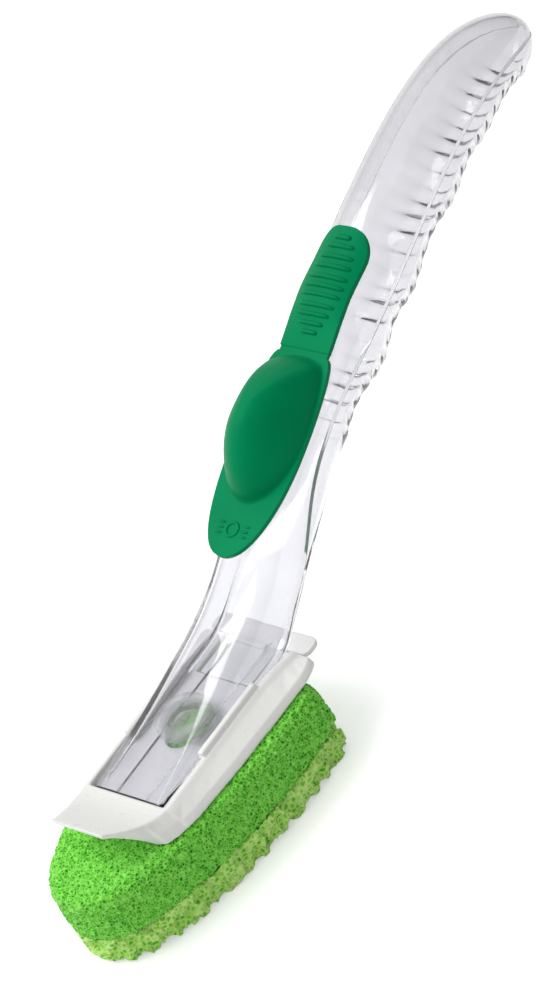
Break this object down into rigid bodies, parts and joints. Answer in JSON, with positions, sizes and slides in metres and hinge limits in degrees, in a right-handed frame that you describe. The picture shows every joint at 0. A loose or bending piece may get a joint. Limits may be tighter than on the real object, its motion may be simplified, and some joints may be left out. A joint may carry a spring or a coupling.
{
  "type": "dish wand",
  "caption": "Soap-dispensing dish wand: hollow clear grip handle, hinged filler cap with pump bulb, and a slide-off scraper head with a two-layer scrub sponge.",
  "frame": {"origin": "centre of the flat scrubbing face", "axes": "+X from the sponge's toe towards the handle end, +Y across the width, +Z from the scrubbing face up to the handle"},
  "size_m": [0.2894, 0.059, 0.1144],
  "materials": {
    "clear_plastic": "clear, polished",
    "soft_green": "satin soft-touch",
    "silicone": "milky, satin",
    "white_plastic": "smooth moulded",
    "fine_foam": "fine open-cell foam",
    "coarse_sponge": "coarse open-cell sponge"
  },
  "bodies": {
    "handle": {"front_shell": "clear_plastic", "back_shell": "clear_plastic", "thumb_grip": "soft_green", "outlet_valve": "silicone", "valve_retainer": "clear_plastic"},
    "cap": {"filler_cap": "soft_green"},
    "bulb": {"pump_bulb": "soft_green"},
    "head": {"head_base": "white_plastic", "foam_layer": "fine_foam", "cellulose_layer": "coarse_sponge"},
    "latch": {"release_tab": "white_plastic"}
  },
  "joints": [
    {"name": "cap_hinge", "type": "hinge", "parent": "handle", "child": "cap", "pos_m": [0.11567, 0, 0.08483], "axis": [0, 1, 0], "range_deg": [0, 95]},
    {"name": "bulb_press", "type": "slide", "parent": "cap", "child": "bulb", "axis": [0.3907, 0, -0.9205], "range_m": [0, 0.006], "stiffness_N_per_m": 1200},
    {"name": "head_slide", "type": "slide", "parent": "handle", "child": "head", "axis": [-1, 0, 0], "range_m": [0, 0.066]},
    {"name": "latch_flex", "type": "hinge", "parent": "head", "child": "latch", "pos_m": [0.0363, 0, 0.02855], "axis": [0, 1, 0], "range_deg": [0, 4], "stiffness_Nm_per_rad": 3}
  ]
}
